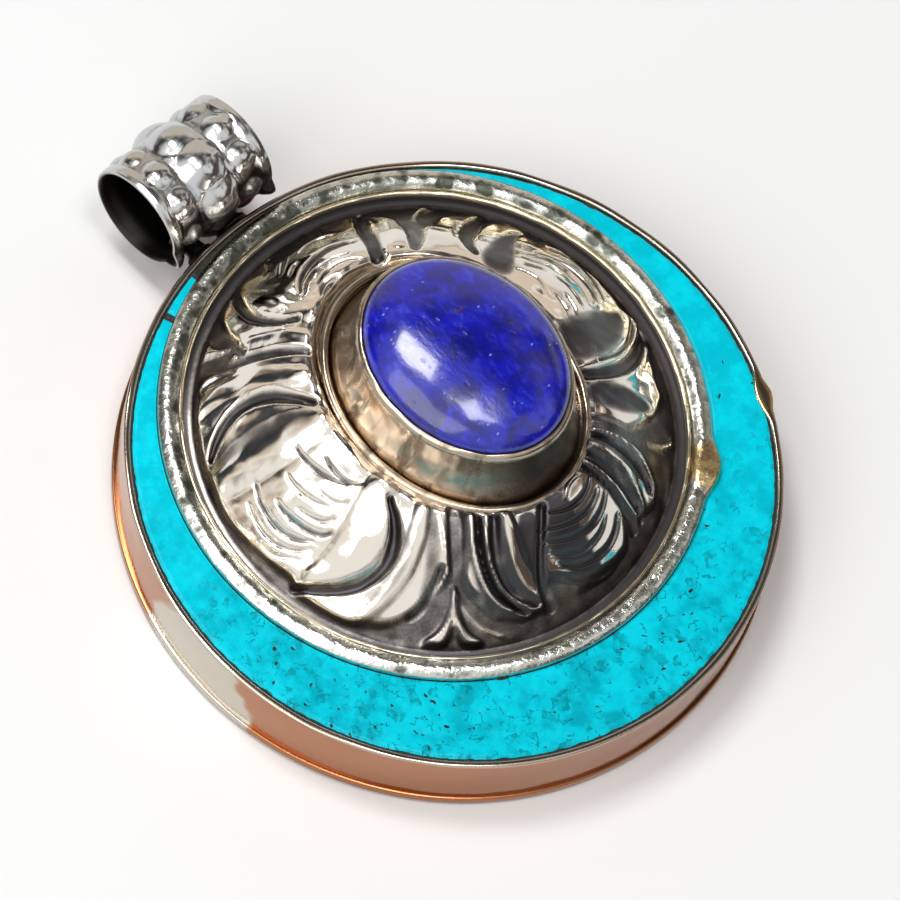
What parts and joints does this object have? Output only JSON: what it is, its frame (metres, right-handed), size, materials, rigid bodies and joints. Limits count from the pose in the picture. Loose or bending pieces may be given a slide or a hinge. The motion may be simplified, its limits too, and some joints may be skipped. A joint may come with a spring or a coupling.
{
  "type": "ghau amulet box",
  "caption": "Round silver ghau amulet box pendant with a domed chased face, oval lapis cabochon, turquoise inlay crescent, tube bail and push-on back.",
  "frame": {"origin": "middle of the underside of the push-on back", "axes": "+Z out of the face, +Y from the middle towards the bail, +X along the bail's bore"},
  "size_m": [0.0384, 0.0455, 0.0159],
  "materials": {
    "silver": "hand-polished silver with fine scratches",
    "oxidised_silver": "chased silver, dark in the grooves and polished on the high parts",
    "hammered_wire": "pitted and hammered silver wire",
    "turquoise": "ground flush and polished, with fine dark cracks",
    "cement": "dark inlay cement, satin",
    "lapis": "polished cabochon with pale flecks",
    "packing": "sawdust and resin, hidden"
  },
  "bodies": {
    "back": {"back_plate": "silver", "back_flange": "silver"},
    "front": {"case_band": "silver", "channel_ledge": "silver", "inlay_cement": "cement", "turquoise_crescent": "turquoise", "turquoise_chip": "turquoise", "ring_wire": "hammered_wire", "disc_collar": "silver", "chased_disc": "oxidised_silver", "stone_cup": "silver", "cup_foot_wire": "silver", "cup_packing": "packing", "lapis_cabochon": "lapis", "bail_tube": "oxidised_silver", "bail_shank": "oxidised_silver"}
  },
  "joints": [
    {"name": "front_lift", "type": "slide", "parent": "back", "child": "front", "axis": [0, 0, 1], "range_m": [0, 0.012]}
  ]
}
